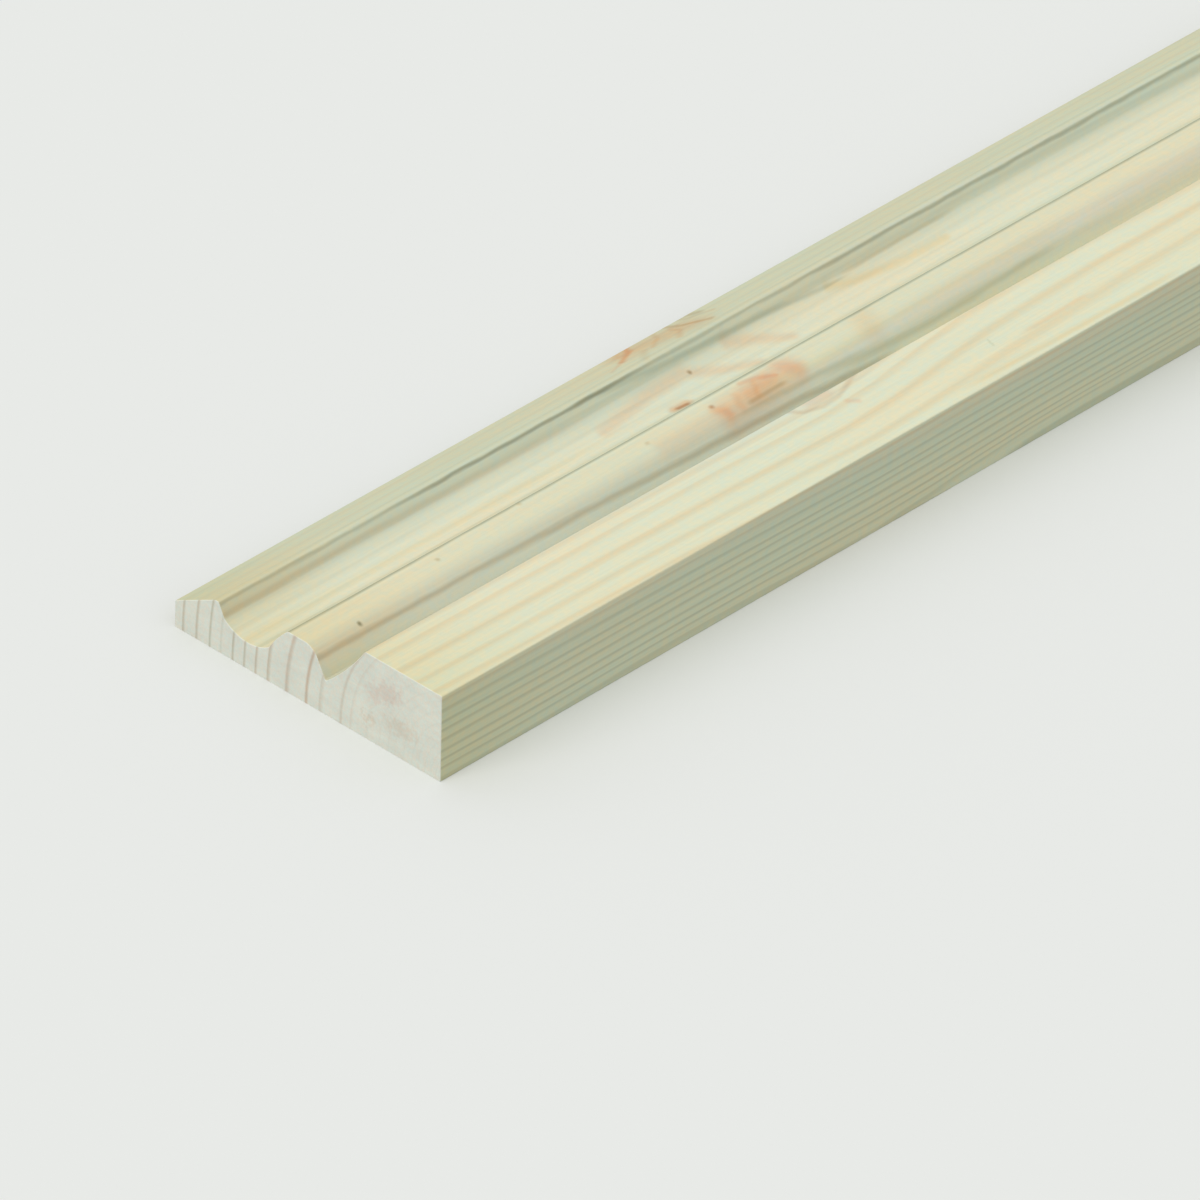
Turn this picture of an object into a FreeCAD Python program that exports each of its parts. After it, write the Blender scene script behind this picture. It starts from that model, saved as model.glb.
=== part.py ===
import FreeCAD, Part
import math
import os

import Sketcher
from FreeCAD import Vector

# Architrave moulding: one length of planed softwood, moulded on its face.
# X runs along the length, Y across the face from the thick outer edge to the thin inner edge,
# and Z up from the flat back. The origin is at the middle of the back.
#
# The face, from the outer edge inwards: a flat band, a hollow flank down to a quirk, an ovolo
# up to a plateau, an ogee down to a cove, a small step up to a rim, and a bevel to the thin edge.

NODE = "architrave"
SHEET = "Sizes"

# Driving sizes in millimetres. A run or a width is measured across the face and a height
# from the back.
SIZES = {
    "stock_length": (2100.0, "length as sold"),
    "outer_thickness": (19.0, "height of the thick outer edge"),
    "inner_thickness": (5.8, "height of the thin inner edge"),
    "band_width": (19.7, "flat band beside the outer edge"),
    "flank_run": (9.8, "hollow flank from the band down to the quirk"),
    "flank_radius": (55.0, "radius of the flank's shallow hollow"),
    "quirk_floor": (7.6, "height of the quirk's floor"),
    "quirk_land": (0.4, "width of the quirk's floor"),
    "quirk_wall_run": (2.0, "steep wall from the quirk up to the ovolo"),
    "ovolo_run": (3.6, "ovolo from the wall up to the plateau"),
    "ovolo_rise": (2.2, "height of the ovolo above the wall"),
    "plateau_height": (13.5, "height of the plateau"),
    "plateau_width": (4.1, "plateau between the ovolo and the ogee"),
    "ogee_run": (4.8, "convex upper half of the ogee"),
    "ogee_radius": (25.0, "radius of the ogee's convex half"),
    "cove_radius": (9.4, "radius of the cove, the ogee's hollow half"),
    "cove_floor": (5.8, "height of the lowest line of the cove"),
    "cove_lead": (5.6, "run from the ogee down to the cove's lowest line"),
    "cove_rise": (6.1, "run from the cove's lowest line up to the step"),
    "step_run": (1.6, "steep face from the cove up to the rim"),
    "rim_height": (11.1, "height of the rim"),
    "rim_land": (0.9, "flat top of the rim"),
    "bevel_run": (10.4, "bevel from the rim down to the inner edge"),
    "arris_radius": (0.4, "easing of the arrises on the face"),
}

# The members that lie side by side across the face, whose runs add up to its width.
FACE_MEMBERS = (
    "band_width",
    "flank_run",
    "quirk_land",
    "quirk_wall_run",
    "ovolo_run",
    "plateau_width",
    "ogee_run",
    "cove_lead",
    "cove_rise",
    "step_run",
    "rim_land",
    "bevel_run",
)

# Sizes worked out from the driving ones.
WORKED_OUT = {
    "face_width": (" + ".join(FACE_MEMBERS), "whole width of the face"),
    "wall_top": ("plateau_height - ovolo_rise", "height of the wall's top, where the ovolo starts"),
    "cove_centre": ("cove_floor + cove_radius", "height of the cove's centre"),
}

START, END, CENTRE = 1, 2, 3
ORIGIN_POINT = (-1, 1)


def make_sheet(doc):
    """The spreadsheet: one named cell for each driving size, and for each worked-out one."""
    sheet = doc.addObject("Spreadsheet::Sheet", SHEET)
    cells = {name: (str(value), note) for name, (value, note) in SIZES.items()}
    cells.update({name: ("=" + formula, note) for name, (formula, note) in WORKED_OUT.items()})
    for row, (name, (content, note)) in enumerate(cells.items(), start=1):
        sheet.set(f"A{row}", name)
        sheet.set(f"B{row}", content)
        sheet.setAlias(f"B{row}", name)
        sheet.set(f"C{row}", note)
    doc.recompute()
    return sheet


class Section:
    """The section's outline in a sketch, drawn member by member from the outer back corner.

    The sketch's x is the distance from the outer edge and its y is the height above the back.
    """

    def __init__(self, sketch, sheet):
        self.sketch = sketch
        self.sheet = sheet
        self.here = Vector(0, 0, 0)
        self.end = None
        self.first = None

    def size(self, name):
        """The value of a named cell."""
        return float(self.sheet.get(name))

    def relate(self, kind, *where):
        """Add a constraint that has no size."""
        self.sketch.addConstraint(Sketcher.Constraint(kind, *where))

    def bind(self, name, kind, *where):
        """Add a constraint whose size is the named cell."""
        index = self.sketch.addConstraint(Sketcher.Constraint(kind, *where, self.size(name)))
        self.sketch.renameConstraint(index, name)
        self.sketch.setExpression(f"Constraints.{name}", f"{SHEET}.{name}")

    def join(self, geometry, near, far, target):
        """Add a piece of outline, tie its near end to the last one, and move on to target."""
        index = self.sketch.addGeometry(geometry, False)
        if self.end is None:
            self.first = (index, near)
        else:
            self.relate("Coincident", *self.end, index, near)
        self.end = (index, far)
        self.here = target
        return index

    def line(self, x, y):
        """A straight member from here to the point x, y."""
        target = Vector(x, y, 0)
        return self.join(Part.LineSegment(self.here, target), START, END, target)

    def arc(self, centre, x, y, crest):
        """A round member from here to x, y: a crest over its centre, or a hollow under it."""
        target = Vector(x, y, 0)
        spokes = (self.here - centre, target - centre)
        near_turn, far_turn = (math.atan2(spoke.y, spoke.x) for spoke in spokes)
        circle = Part.Circle(centre, Vector(0, 0, 1), spokes[0].Length)
        if crest:
            return self.join(Part.ArcOfCircle(circle, far_turn, near_turn), END, START, target)
        return self.join(Part.ArcOfCircle(circle, near_turn, far_turn), START, END, target)

    def centre_of(self, x, y, radius, crest):
        """The centre of the round of that radius which runs from here to x, y."""
        chord = Vector(x, y, 0) - self.here
        middle = self.here + chord * 0.5
        rise = math.sqrt(radius ** 2 - (chord.Length / 2) ** 2)
        across = Vector(-chord.y, chord.x, 0).normalize()
        return middle - across * rise if crest else middle + across * rise

    def close(self):
        """Tie the outline's last point to its first."""
        self.relate("Coincident", *self.end, *self.first)


def draw_band(section):
    """The thick outer edge, and the flat band at full thickness."""
    thickness = section.size("outer_thickness")
    edge = section.line(0, thickness)
    section.relate("Coincident", edge, START, *ORIGIN_POINT)
    section.relate("Vertical", edge)
    section.bind("outer_thickness", "DistanceY", edge, START, edge, END)
    band = section.line(section.size("band_width"), thickness)
    section.relate("Horizontal", band)
    section.bind("band_width", "DistanceX", band, START, band, END)


def draw_quirk(section):
    """The hollow flank, the quirk's floor and its steep wall."""
    radius = section.size("flank_radius")
    floor = section.size("quirk_floor")
    foot = section.here.x + section.size("flank_run")
    flank = section.arc(section.centre_of(foot, floor, radius, crest=False), foot, floor, crest=False)
    section.bind("flank_run", "DistanceX", flank, START, flank, END)
    section.bind("quirk_floor", "DistanceY", *ORIGIN_POINT, flank, END)
    section.bind("flank_radius", "Radius", flank)
    land = section.line(foot + section.size("quirk_land"), floor)
    section.relate("Horizontal", land)
    section.bind("quirk_land", "DistanceX", land, START, land, END)
    wall = section.line(section.here.x + section.size("quirk_wall_run"), section.size("wall_top"))
    section.bind("quirk_wall_run", "DistanceX", wall, START, wall, END)


def draw_ovolo(section):
    """The ovolo, which comes level at its top, and the plateau that it runs into."""
    run = section.size("ovolo_run")
    rise = section.size("ovolo_rise")
    top = section.size("plateau_height")
    brow = section.here.x + run
    radius = (run ** 2 + rise ** 2) / (2 * rise)
    ovolo = section.arc(Vector(brow, top - radius, 0), brow, top, crest=True)
    section.bind("ovolo_run", "DistanceX", ovolo, END, ovolo, START)
    section.bind("ovolo_rise", "DistanceY", ovolo, END, ovolo, START)
    section.bind("plateau_height", "DistanceY", *ORIGIN_POINT, ovolo, START)
    section.relate("Vertical", ovolo, CENTRE, ovolo, START)
    plateau = section.line(brow + section.size("plateau_width"), top)
    section.relate("Horizontal", plateau)
    section.bind("plateau_width", "DistanceX", plateau, START, plateau, END)


def draw_ogee(section):
    """The ogee's convex half, and the cove that it falls into."""
    cove_radius = section.size("cove_radius")
    lead = section.size("cove_lead")
    rise = section.size("cove_rise")
    meeting = section.here.x + section.size("ogee_run")
    centre = Vector(meeting + lead, section.size("cove_centre"), 0)
    foot = centre.y - math.sqrt(cove_radius ** 2 - lead ** 2)
    brow_centre = section.centre_of(meeting, foot, section.size("ogee_radius"), crest=True)
    brow = section.arc(brow_centre, meeting, foot, crest=True)
    section.bind("ogee_run", "DistanceX", brow, END, brow, START)
    section.bind("ogee_radius", "Radius", brow)
    head = centre.y - math.sqrt(cove_radius ** 2 - rise ** 2)
    cove = section.arc(centre, centre.x + rise, head, crest=False)
    section.bind("cove_radius", "Radius", cove)
    section.bind("cove_lead", "DistanceX", cove, START, cove, CENTRE)
    section.bind("cove_rise", "DistanceX", cove, CENTRE, cove, END)
    section.bind("cove_centre", "DistanceY", *ORIGIN_POINT, cove, CENTRE)


def draw_rim(section):
    """The step up from the cove, the rim's top, and the bevel down to the thin edge."""
    top = section.size("rim_height")
    step = section.line(section.here.x + section.size("step_run"), top)
    section.bind("step_run", "DistanceX", step, START, step, END)
    section.bind("rim_height", "DistanceY", *ORIGIN_POINT, step, END)
    land = section.line(section.here.x + section.size("rim_land"), top)
    section.relate("Horizontal", land)
    section.bind("rim_land", "DistanceX", land, START, land, END)
    width = section.size("face_width")
    bevel = section.line(width, section.size("inner_thickness"))
    section.bind("bevel_run", "DistanceX", bevel, START, bevel, END)
    edge = section.line(width, 0)
    section.relate("Vertical", edge)
    section.bind("inner_thickness", "DistanceY", edge, END, edge, START)


def draw_back(section):
    """The flat back, which closes the outline."""
    back = section.line(0, 0)
    section.relate("Horizontal", back)
    section.close()


def origin_plane(body, role):
    """One of the body's own origin planes."""
    return next(plane for plane in body.Origin.OriginFeatures if plane.Role == role)


def make_profile(body, sheet):
    """The section's sketch, across the length, with every point held by the sheet."""
    sketch = body.newObject("Sketcher::SketchObject", "FaceProfile")
    sketch.AttachmentSupport = [(origin_plane(body, "YZ_Plane"), "")]
    sketch.MapMode = "FlatFace"
    section = Section(sketch, sheet)
    draw_band(section)
    draw_quirk(section)
    draw_ovolo(section)
    draw_ogee(section)
    draw_rim(section)
    draw_back(section)
    return sketch


def arris_names(shape, sheet):
    """The long edges between the outer edge, the band, the rim and the thin inner edge."""
    band = float(sheet.get("band_width"))
    thickness = float(sheet.get("outer_thickness"))
    width = float(sheet.get("face_width"))
    bevel_top = width - float(sheet.get("bevel_run"))
    rim = float(sheet.get("rim_height"))
    arrises = [
        (0, thickness),
        (band, thickness),
        (bevel_top - float(sheet.get("rim_land")), rim),
        (bevel_top, rim),
        (width, float(sheet.get("inner_thickness"))),
    ]
    names = []
    for number, edge in enumerate(shape.Edges, start=1):
        middle = edge.CenterOfMass
        runs_along = abs(edge.tangentAt(edge.FirstParameter).x) > 0.5
        on_arris = any(math.dist((middle.y, middle.z), arris) < 0.001 for arris in arrises)
        if runs_along and on_arris:
            names.append(f"Edge{number}")
    return names


def make_moulding(doc, sheet):
    """The whole moulding: its section run along the length, with the face's arrises eased."""
    body = doc.addObject("PartDesign::Body", "Moulding")
    body.Label = NODE
    profile = make_profile(body, sheet)
    length = body.newObject("PartDesign::Pad", "Length")
    length.Profile = profile
    length.SideType = "Symmetric"
    length.setExpression("Length", f"{SHEET}.stock_length")
    doc.recompute()
    easing = body.newObject("PartDesign::Fillet", "EasedArrises")
    easing.Base = (length, arris_names(length.Shape, sheet))
    easing.setExpression("Radius", f"{SHEET}.arris_radius")
    body.setExpression("Placement.Base.y", f"-{SHEET}.face_width / 2")
    return body


def check(doc, body):
    """Stop with a plain message if anything in the document failed."""
    for item in doc.Objects:
        if "Invalid" in item.State or "Error" in item.State:
            raise RuntimeError(f"{item.Label} failed: {item.State}")
    if not doc.getObject("FaceProfile").FullyConstrained:
        raise RuntimeError("the section is not fully held by its sizes")
    shape = body.Shape
    if shape.isNull() or not shape.isValid() or len(shape.Solids) != 1:
        raise RuntimeError(f"{body.Label} is not one sound solid")


def main():
    doc = FreeCAD.newDocument("ArchitraveMoulding")
    sheet = make_sheet(doc)
    body = make_moulding(doc, sheet)
    doc.recompute()
    check(doc, body)
    os.makedirs("parts", exist_ok=True)
    body.Shape.exportStep(f"parts/{body.Label}.step")
    box = body.Shape.BoundBox
    print(f"{body.Label}: {box.XLength:.1f} x {box.YLength:.1f} x {box.ZLength:.1f} mm")
    print(f"volume {body.Shape.Volume / 1000:.1f} cm3")


main()
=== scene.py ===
"""A length of planed softwood architrave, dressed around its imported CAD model.

Blender works in metres in the CAD frame: +X along the stock, +Y across the face from the thick outer edge
to the thin inner edge, +Z out of the moulded face. Sizes in the classes are millimetres. Places on the stock
are given as a joiner would mark them: along from the foot end, across from the outer edge, up from the back.
"""

import logging
import math
from dataclasses import dataclass
from enum import Enum

import bpy
from mathutils import Matrix, Vector


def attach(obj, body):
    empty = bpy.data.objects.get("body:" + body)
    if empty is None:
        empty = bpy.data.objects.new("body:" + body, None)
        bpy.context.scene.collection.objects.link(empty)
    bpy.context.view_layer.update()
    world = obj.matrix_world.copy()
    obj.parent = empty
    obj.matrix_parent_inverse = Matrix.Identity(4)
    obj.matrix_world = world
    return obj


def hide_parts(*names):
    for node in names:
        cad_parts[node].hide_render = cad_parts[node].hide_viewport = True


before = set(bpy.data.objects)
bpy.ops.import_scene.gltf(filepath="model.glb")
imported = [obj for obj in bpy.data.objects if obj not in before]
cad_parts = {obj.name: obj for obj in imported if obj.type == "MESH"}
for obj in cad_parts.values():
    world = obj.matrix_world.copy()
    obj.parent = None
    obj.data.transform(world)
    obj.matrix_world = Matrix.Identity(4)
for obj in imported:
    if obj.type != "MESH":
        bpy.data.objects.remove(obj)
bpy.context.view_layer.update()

log = logging.getLogger("architrave")

MM = 0.001
STOCK_LENGTH = 2100.0
STOCK_WIDTH = 69.0

Point = tuple[float, float]
Place = tuple[float, float, float]
Colour = tuple[float, float, float, float]

# Sockets of the Mix node when it mixes colours.
MIX_FACTOR = 0
MIX_FIRST = 6
MIX_SECOND = 7


def linear(hex_colour: str) -> Colour:
    """Turns an sRGB hex colour into Blender's linear colour.

    Args:
        hex_colour: Six hex digits after a hash sign.

    Returns:
        Linear red, green and blue with full alpha.
    """
    channels = []
    for start in (1, 3, 5):
        value = int(hex_colour[start:start + 2], 16) / 255
        if value <= 0.04045:
            channels.append(value / 12.92)
        else:
            channels.append(((value + 0.055) / 1.055) ** 2.4)
    return (channels[0], channels[1], channels[2], 1.0)


def add_node(tree: bpy.types.NodeTree, kind: str, inputs: dict | None = None, **settings) -> bpy.types.Node:
    """Adds one node to a tree with its settings and links.

    Args:
        tree: The node tree that gets the node.
        kind: Blender's name for the node type.
        inputs: Socket names or numbers, each with a value, or with a socket or node that feeds it.
        **settings: Properties of the node itself.

    Returns:
        The new node.
    """
    node = tree.nodes.new(kind)
    for name, value in settings.items():
        setattr(node, name, value)
    for key, value in (inputs or {}).items():
        if isinstance(value, bpy.types.Node):
            value = next(output for output in value.outputs if output.enabled)
        if isinstance(value, bpy.types.NodeSocket):
            tree.links.new(value, node.inputs[key])
        else:
            node.inputs[key].default_value = value
    return node


def outermost(tree: bpy.types.NodeTree, values: list[bpy.types.Node], operation: str) -> bpy.types.Node:
    """Picks the least or the greatest of several values.

    Args:
        tree: The node tree that gets the nodes.
        values: The nodes with the values.
        operation: MINIMUM or MAXIMUM.

    Returns:
        The node with the picked value.
    """
    picked = values[0]
    for value in values[1:]:
        picked = add_node(tree, "ShaderNodeMath", {0: picked, 1: value}, operation=operation)
    return picked


def draw_curve(node: bpy.types.Node, points: list[Point]) -> bpy.types.Node:
    """Draws straight runs between points in a Float Curve node, level before the first and past the last.

    Args:
        node: The Float Curve node.
        points: Input and output values from 0 to 1, in rising order of input.

    Returns:
        The same node.
    """
    curve = node.mapping.curves[0]
    curve.points[0].location = points[0]
    curve.points[1].location = points[-1]
    for point in points[1:-1]:
        curve.points.new(*point)
    for point in curve.points:
        point.handle_type = "VECTOR"
    node.mapping.extend = "HORIZONTAL"
    node.mapping.update()
    return node


def new_material(name: str) -> bpy.types.Material:
    """Makes an empty node material.

    Args:
        name: The material's name.

    Returns:
        The material, with no nodes in its tree.
    """
    material = bpy.data.materials.new(name)
    material.use_nodes = True
    material.node_tree.nodes.clear()
    return material


class Soundness(Enum):
    """How a knot sits in the wood around it."""

    LIVE = "grown into the wood, with no rim"
    DEAD = "loose in its bark, with a dark rim"


class Surface(Enum):
    """How a face of the stock was made, with its material slot."""

    PLANED = 0
    SAWN = 1


@dataclass(frozen=True)
class Branch:
    """The foot of a branch inside the stock, which shows as a knot where the face cuts it.

    It grows from its start at the pith, and is thicker by the taper for each millimetre that the trunk grew.
    It pushes the trunk's rings aside by the bulge, fading over the reach, all in millimetres.
    """

    start: Place
    heading: Place
    taper: float
    bulge: float
    reach: float
    soundness: Soundness = Soundness.LIVE


@dataclass(frozen=True)
class Stroke:
    """A soft streak of tinted wood or of painted shade along a run of points, or a spot where there is one
    point.

    Points are along and across on the face, or across and up on a sawn end. The tint multiplies the wood's
    colour, and a slimming below 1 draws the streak's ends out along the grain.
    """

    points: tuple[Point, ...]
    width: float
    strength: float
    tint: str
    slimming: float = 1.0

    def lay(self, tree: bpy.types.NodeTree, spot: bpy.types.Node, colour: bpy.types.Node) -> bpy.types.Node:
        """Lays the streak over a colour.

        Args:
            tree: The material's node tree.
            spot: The point's place on the surface.
            colour: The colour below the streak.

        Returns:
            The colour with the streak.
        """
        if self.slimming != 1.0:
            scale = (self.slimming, 1.0, 1.0)
            spot = add_node(tree, "ShaderNodeVectorMath", {0: spot, 1: scale}, operation="MULTIPLY")
        corners = [Vector((along * self.slimming, across, 0.0)) for along, across in self.points]
        cover = add_node(tree, "ShaderNodeMapRange", {
            "Value": self._distance(tree, spot, corners),
            "From Max": self.width,
            "To Min": self.strength,
            "To Max": 0.0,
        }, interpolation_type="SMOOTHSTEP")
        return add_node(tree, "ShaderNodeMix", {
            MIX_FACTOR: cover,
            MIX_FIRST: colour,
            MIX_SECOND: linear(self.tint),
        }, data_type="RGBA", blend_type="MULTIPLY")

    def _distance(self, tree: bpy.types.NodeTree, spot: bpy.types.Node,
                  corners: list[Vector]) -> bpy.types.Node:
        """Measures how far a point is from the run of points.

        Args:
            tree: The material's node tree.
            spot: The point's place on the surface.
            corners: The run of points.

        Returns:
            The node with the distance in millimetres.
        """
        if len(corners) == 1:
            return add_node(tree, "ShaderNodeVectorMath", {0: spot, 1: corners[0]}, operation="DISTANCE")
        distances = []
        for begin, end in zip(corners, corners[1:]):
            run = end - begin
            offset = add_node(tree, "ShaderNodeVectorMath", {0: spot, 1: begin}, operation="SUBTRACT")
            dot = add_node(tree, "ShaderNodeVectorMath", {
                0: offset,
                1: run / run.length_squared,
            }, operation="DOT_PRODUCT")
            share = add_node(tree, "ShaderNodeClamp", {"Value": dot})
            nearest = add_node(tree, "ShaderNodeVectorMath", {0: run, "Scale": share}, operation="SCALE")
            distances.append(add_node(tree, "ShaderNodeVectorMath", {
                0: offset,
                1: nearest,
            }, operation="DISTANCE"))
        return outermost(tree, distances, "MINIMUM")


@dataclass(frozen=True)
class WoodField:
    """The nodes that say what the wood is at a point.

    Place is in millimetres, and age is the ring radius. The others run from 0 to 1: how far the wood is late
    wood, how orange that is, how far it is in a knot, in the knot's clear body, in its heart, and in the bark
    rim of a dead knot.
    """

    place: bpy.types.Node
    age: bpy.types.Node
    late: bpy.types.Node
    warm: bpy.types.Node
    knot: bpy.types.Node
    body: bpy.types.Node
    heart: bpy.types.Node
    rim: bpy.types.Node


# Pine has a ring of branches at the top of each year's growth, here 320 to 370 mm apart. The first one, at
# the photograph's knot, is drawn by FACE_STROKES, and bends the grain through the pith's path.
BRANCHES = (
    Branch((395.0, -8.0, 0.0), (0.20, 0.66, 0.75), 0.12, 2.2, 9.0),
    Branch((412.0, -8.0, 0.0), (0.25, 0.96, 0.30), 0.05, 2.0, 9.0),
    Branch((733.0, -8.0, 0.0), (0.22, 0.98, 0.19), 0.07, 2.6, 12.0),
    Branch((1086.0, -8.0, 0.0), (0.18, 0.62, 0.78), 0.10, 1.6, 8.0, Soundness.DEAD),
    Branch((1104.0, -8.0, 0.0), (0.25, 0.97, 0.24), 0.06, 2.4, 10.0),
    Branch((1458.0, -8.0, 0.0), (0.22, 0.78, 0.60), 0.12, 2.6, 11.0),
    Branch((1779.0, -8.0, 0.0), (0.24, 0.70, 0.71), 0.16, 2.8, 12.0, Soundness.DEAD),
    Branch((1795.0, -8.0, 0.0), (0.28, 0.98, 0.12), 0.05, 2.0, 10.0),
)


@dataclass(frozen=True)
class GrowthRings:
    """The wood's year rings round a pith that lies just outside the stock's outer bottom edge.

    The ring radii are read off the side, the flat band and the sawn end: fine rings of 1 to 2 mm by the pith,
    5 mm wide ones in the middle of the board, and 3 mm ones towards the thin edge.
    """

    pith: Point = (-8.0, 0.0)
    radii: tuple[float, ...] = (
        2.4, 4.8, 7.3, 8.1, 8.6, 9.4, 10.5, 12.2, 13.9, 15.4, 17.7, 19.8, 21.5, 23.8, 27.1, 31.3, 33.7,
        39.2, 42.6, 47.8, 52.8, 56.0, 59.0, 62.0, 65.1, 67.9, 71.4, 74.9, 78.2,
    )
    warm_radii: tuple[Point, ...] = (
        (0.0, 0.0), (18.0, 0.1), (21.0, 0.9), (32.0, 0.9), (39.0, 0.5), (42.6, 1.0), (48.0, 1.0), (52.8, 0.6),
        (56.0, 0.7), (60.0, 0.2), (68.0, 0.0), (71.4, 0.5), (80.0, 0.5),
    )
    limit: float = 80.0
    # How far the wood by the pith lies aside and up at places along the stock, from the photograph's grain
    # lines: the grain dips below the knot and swings out beyond it.
    path_aside: tuple[Point, ...] = (
        (0.0, 0.0), (25.0, -0.3), (46.0, -0.45), (67.0, -0.7), (88.0, -0.8), (102.0, -1.1), (116.0, -1.2),
        (130.0, 0.0), (144.0, 2.7), (158.0, 5.2), (172.0, 6.0), (190.0, 6.2), (260.0, 4.5), (400.0, 0.0),
    )
    path_up: tuple[Point, ...] = (
        (0.0, 0.0), (46.0, -0.2), (67.0, -0.4), (88.0, -0.9), (102.0, -1.1), (116.0, -1.5), (130.0, -1.9),
        (144.0, -2.7), (158.0, -3.2), (172.0, -3.1), (190.0, -2.8), (260.0, -1.5), (400.0, 0.0),
    )
    path_length: float = 400.0
    path_swing: float = 8.0
    # How much of that shift the wood follows, by its ring radius.
    path_share: tuple[Point, ...] = (
        (0.0, 0.1), (8.0, 0.15), (10.0, 0.2), (13.0, 0.4), (17.0, 1.0), (33.0, 1.0), (43.0, 0.2), (60.0, 0.0),
        (80.0, 0.0),
    )
    # The rings also wander by chance, little where the photograph shows them and more beyond it.
    near_wander: float = 0.475
    far_wander: float = 4.5
    wander_along: float = 150.0
    wander_across: float = 34.0
    steady_until: float = 150.0
    loose_from: float = 330.0
    # How a knot's own rings join the trunk's, and from where to where, inwards from its edge, its tint sets
    # in and its skin clears. The heart fades outwards from its middle.
    knot_join: float = 6.0
    knot_edge: Point = (-5.0, 9.0)
    skin_depth: Point = (3.0, 18.0)
    heart_size: Point = (1.5, 7.0)
    rim_width: float = 1.6
    # Late wood darkens over the last share of the year's growth and pales soon after the year ends.
    line_lead: float = 0.38
    line_trail: float = 0.22
    faintest_line: float = 0.7

    def build(self, tree: bpy.types.NodeTree) -> WoodField:
        """Builds the nodes that find the year ring and the knots at a point.

        Args:
            tree: The material's node tree.

        Returns:
            The field's nodes.
        """
        place = self._place(tree)
        radius = self._wandering_radius(tree, place)
        age = radius
        knots = []
        rims = []
        for branch in BRANCHES:
            grown, age = self._add_branch(tree, branch, place, age)
            knots.append(grown)
            if branch.soundness is Soundness.DEAD:
                rims.append(add_node(tree, "ShaderNodeMath", {
                    0: grown,
                    1: radius,
                    2: self.rim_width,
                }, operation="COMPARE"))
        nearest = outermost(tree, knots, "MINIMUM")
        depth = add_node(tree, "ShaderNodeMath", {0: radius, 1: nearest}, operation="SUBTRACT")
        knot = add_node(tree, "ShaderNodeMapRange", {
            "Value": depth,
            "From Min": self.knot_edge[0],
            "From Max": self.knot_edge[1],
        }, interpolation_type="SMOOTHSTEP")
        body = add_node(tree, "ShaderNodeMapRange", {
            "Value": depth,
            "From Min": self.skin_depth[0],
            "From Max": self.skin_depth[1],
        })
        heart = add_node(tree, "ShaderNodeMapRange", {
            "Value": nearest,
            "From Min": self.heart_size[0],
            "From Max": self.heart_size[1],
            "To Min": 1.0,
            "To Max": 0.0,
        }, interpolation_type="SMOOTHSTEP")
        late, warm = self._late_wood(tree, age)
        return WoodField(place, age, late, warm, knot, body, heart, outermost(tree, rims, "MAXIMUM"))

    def by_radius(self, tree: bpy.types.NodeTree, radius: bpy.types.Node, points: tuple[Point, ...],
                  top: float = 1.0) -> bpy.types.Node:
        """Gives a quantity that depends on how far from the pith the wood grew.

        Args:
            tree: The material's node tree.
            radius: The ring radius in millimetres.
            points: The radii, each with the quantity there.
            top: A value that the quantity stays below.

        Returns:
            The node with the quantity.
        """
        outward = add_node(tree, "ShaderNodeMath", {0: radius, 1: self.limit}, operation="DIVIDE")
        share = draw_curve(
            add_node(tree, "ShaderNodeFloatCurve", {"Value": outward}),
            [(at / self.limit, value / top) for at, value in points],
        )
        return add_node(tree, "ShaderNodeMath", {0: share, 1: top}, operation="MULTIPLY")

    def _place(self, tree: bpy.types.NodeTree) -> bpy.types.Node:
        """Gives a point's place on the stock in millimetres, along, across and up."""
        at = add_node(tree, "ShaderNodeTexCoord")
        return add_node(tree, "ShaderNodeMapping", {
            "Vector": at.outputs["Object"],
            "Location": (STOCK_LENGTH / 2, STOCK_WIDTH / 2, 0.0),
            "Scale": (1 / MM, 1 / MM, 1 / MM),
        })

    def _wandering_radius(self, tree: bpy.types.NodeTree, place: bpy.types.Node) -> bpy.types.Node:
        """Measures the distance from a pith that bends and wanders along the stock.

        Args:
            tree: The material's node tree.
            place: The point's place in millimetres.

        Returns:
            The node with the radius in millimetres.
        """
        coarse = add_node(tree, "ShaderNodeVectorMath", {
            0: place,
            1: (1 / self.wander_along, 1 / self.wander_across, 1 / self.wander_across),
        }, operation="MULTIPLY")
        noise = add_node(tree, "ShaderNodeTexNoise", {"Vector": coarse, "Scale": 1.0, "Detail": 1.5})
        centred = add_node(tree, "ShaderNodeVectorMath", {
            0: noise.outputs["Color"],
            1: (0.5, 0.5, 0.5),
        }, operation="SUBTRACT")
        along = add_node(tree, "ShaderNodeSeparateXYZ", {"Vector": place})
        freedom = add_node(tree, "ShaderNodeMapRange", {
            "Value": along,
            "From Min": self.steady_until,
            "From Max": self.loose_from,
            "To Min": 2 * self.near_wander,
            "To Max": 2 * self.far_wander,
        })
        offset = add_node(tree, "ShaderNodeVectorMath", {0: centred, "Scale": freedom}, operation="SCALE")
        moved = add_node(tree, "ShaderNodeVectorMath", {0: place, 1: offset}, operation="ADD")
        share = self.by_radius(tree, self._from_pith(tree, moved), self.path_share)
        swing = add_node(tree, "ShaderNodeCombineXYZ", {
            "Y": self._along_path(tree, along, self.path_aside),
            "Z": self._along_path(tree, along, self.path_up),
        })
        bent = add_node(tree, "ShaderNodeVectorMath", {0: swing, "Scale": share}, operation="SCALE")
        straight = add_node(tree, "ShaderNodeVectorMath", {0: moved, 1: bent}, operation="SUBTRACT")
        return self._from_pith(tree, straight)

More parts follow.
